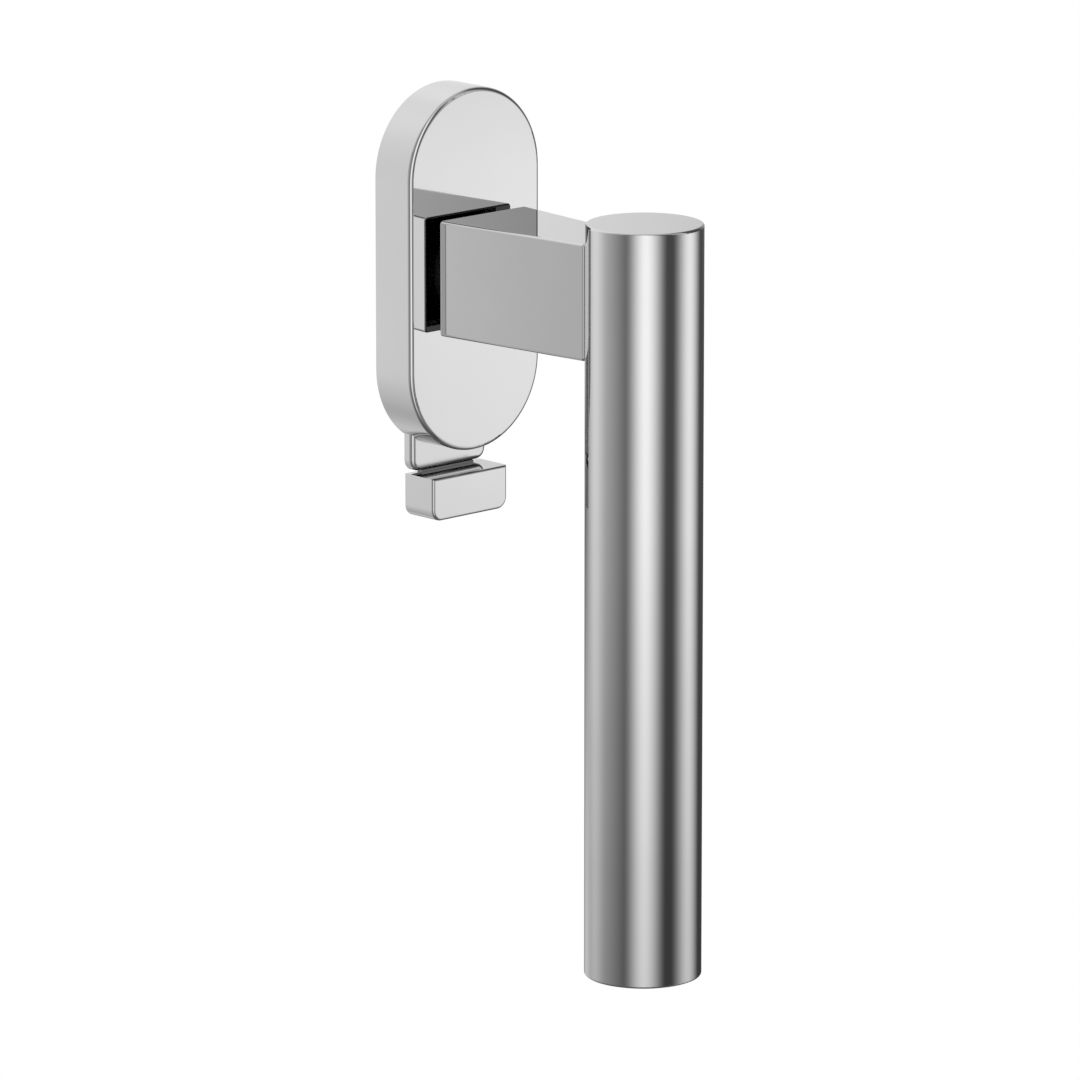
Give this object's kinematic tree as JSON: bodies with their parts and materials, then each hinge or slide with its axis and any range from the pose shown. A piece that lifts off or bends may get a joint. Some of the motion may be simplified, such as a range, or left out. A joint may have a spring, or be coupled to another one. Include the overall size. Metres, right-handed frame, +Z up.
{
  "type": "window handle",
  "caption": "Window handle with a round bar grip on a wedge-shaped neck, a stadium rosette with a spring-indexed spindle, and a push-up lock slide below.",
  "frame": {"origin": "centre of the rosette's back face, on the spindle axis", "axes": "+Z up along the hanging grip, -Y out into the room, +Y into the window frame, +X to the right seen from the room"},
  "size_m": [0.03, 0.0714, 0.1476],
  "materials": {
    "polished_chrome": "mirror polished chrome plate",
    "die_cast": "raw die casting",
    "plated_steel": "bright zinc plate",
    "bearing_steel": "smooth hardened steel",
    "bush_plastic": "black acetal"
  },
  "bodies": {
    "rosette": {"rosette_cover": "polished_chrome", "base_plate": "die_cast", "fixing_screws": "plated_steel", "bearing_bush": "bush_plastic", "back_sheet": "plated_steel", "sheet_screws": "plated_steel", "detent_rollers": "bearing_steel", "detent_springs": "bearing_steel", "slide_ball": "bearing_steel", "slide_spring": "bearing_steel"},
    "lever": {"grip": "polished_chrome", "neck": "polished_chrome", "square_spindle": "plated_steel", "grub_screw": "plated_steel", "index_cam": "bearing_steel", "retaining_ring": "bearing_steel"},
    "lock_slide": {"slide_plate": "polished_chrome", "guide_screws": "plated_steel", "finger_block": "polished_chrome", "block_pins": "bearing_steel"}
  },
  "joints": [
    {"name": "lever_turn", "type": "hinge", "parent": "rosette", "child": "lever", "pos_m": [0, 0, 0], "axis": [0, -1, 0], "range_deg": [-180, 180]},
    {"name": "slide_lift", "type": "slide", "parent": "rosette", "child": "lock_slide", "axis": [0, 0, 1], "range_m": [0, 0.0026]}
  ]
}
